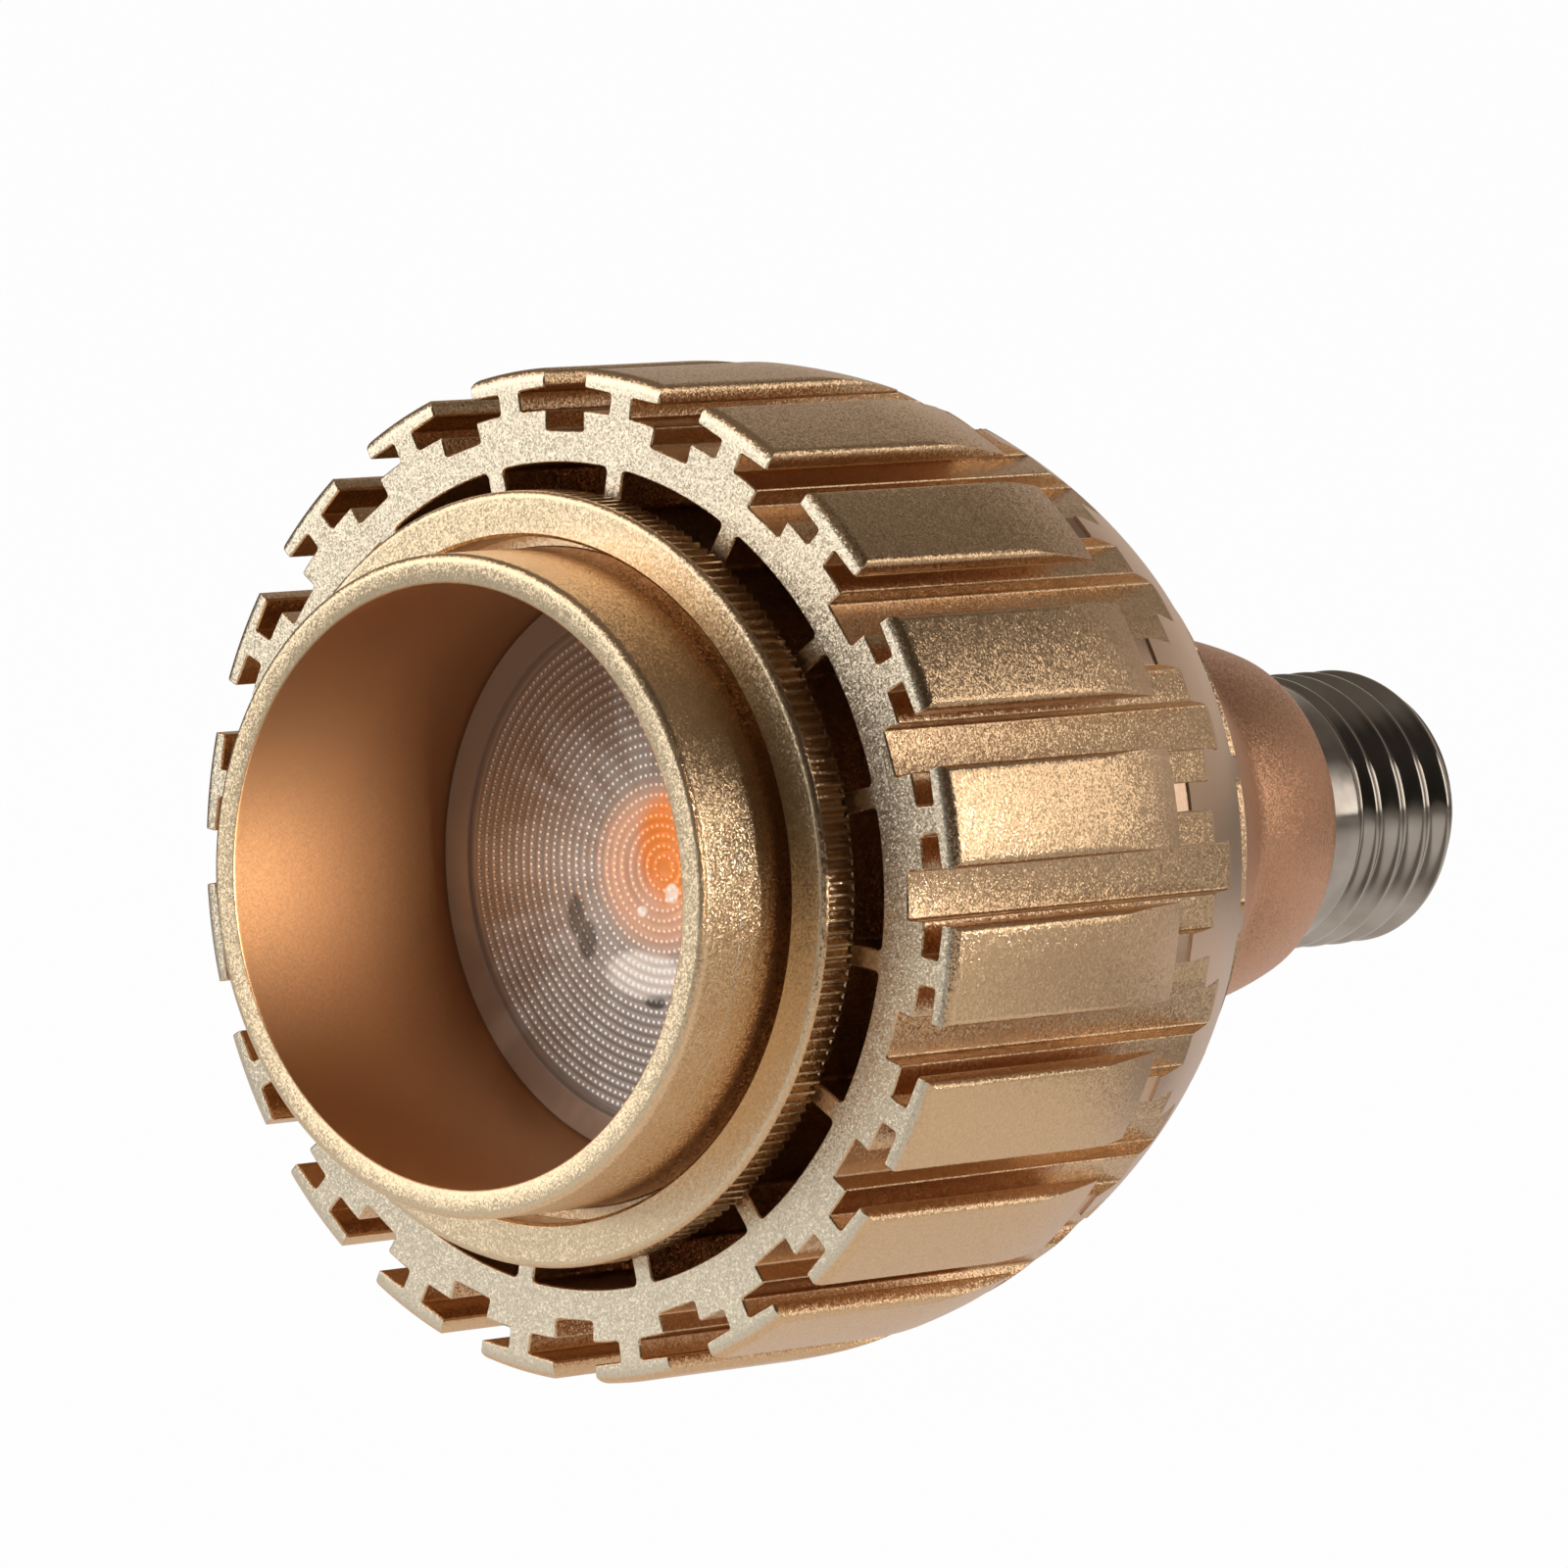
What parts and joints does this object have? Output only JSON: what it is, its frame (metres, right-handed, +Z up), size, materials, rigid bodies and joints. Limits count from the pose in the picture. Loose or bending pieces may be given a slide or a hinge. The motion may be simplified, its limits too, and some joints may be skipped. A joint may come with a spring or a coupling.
{
  "type": "par spotlight bulb",
  "caption": "Spotlight bulb with a finned gold heat sink, a knurled ring that draws its lens hood in and out, a flared neck and a screw cap.",
  "frame": {"origin": "tip of the centre contact, on the bulb's axis", "axes": "+Y along the axis from the hood to the cap, light leaves towards -Y, +Z up, +X to the right seen from the front"},
  "size_m": [0.0916, 0.1329, 0.0916],
  "materials": {
    "gold_anodised": "gold anodised, fine sand-blasted grain, turned faces smooth and satin",
    "rose_lacquer": "rose metallic lacquer with a fine flake",
    "nickel": "bright nickel plate",
    "cap_black": "black, smooth, slightly glossy",
    "clear_plastic": "clear moulded, fine beads on the front",
    "black_rubber": "plain, matt",
    "grey_rubber": "soft, matt",
    "spring_steel": "zinc plated, satin",
    "bare_aluminium": "machined, satin",
    "white_plastic": "moulded, matt",
    "phosphor": "yellow silicone, satin",
    "dark_plastic": "moulded, matt",
    "copper_wire": "tinned copper, satin",
    "board_green": "solder mask, satin",
    "tape_yellow": "insulating tape, smooth",
    "capacitor_sleeve": "shrink sleeve, glossy",
    "capacitor_box": "moulded box, glossy",
    "ferrite": "ferrite, matt"
  },
  "bodies": {
    "bulb": {"heat_sink": "gold_anodised", "ring_washer": "dark_plastic", "ring_circlip": "spring_steel", "guide_pins": "spring_steel", "led_plate": "bare_aluminium", "thermal_pad": "grey_rubber", "led_board": "bare_aluminium", "led_dam": "white_plastic", "led_phosphor": "phosphor", "led_holder": "white_plastic", "led_holder_screws": "spring_steel", "clamp_screws": "spring_steel", "insulation_disc": "dark_plastic", "led_leads": "copper_wire", "neck_housing": "rose_lacquer", "driver_board": "board_green", "transformer": "tape_yellow", "bulk_capacitor": "capacitor_sleeve", "film_capacitor": "capacitor_box", "choke": "ferrite", "bridge_rectifier": "dark_plastic", "contact_lead": "copper_wire", "screw_shell": "nickel", "cap_insulator": "cap_black", "centre_contact": "nickel"},
    "ring": {"knurled_ring": "gold_anodised"},
    "hood": {"hood": "gold_anodised", "lens": "clear_plastic", "lens_gasket": "black_rubber"}
  },
  "joints": [
    {"name": "ring_turn", "type": "hinge", "parent": "bulb", "child": "ring", "pos_m": [0, -0.1189, 0], "axis": [0, 1, 0], "range_deg": [0, 180]},
    {"name": "hood_slide", "type": "slide", "parent": "bulb", "child": "hood", "axis": [0, 1, 0], "range_m": [0, 0.008]}
  ],
  "couplings": [
    {"joint": "hood_slide", "follows": "ring_turn", "m_per_rad": 0.002546}
  ]
}
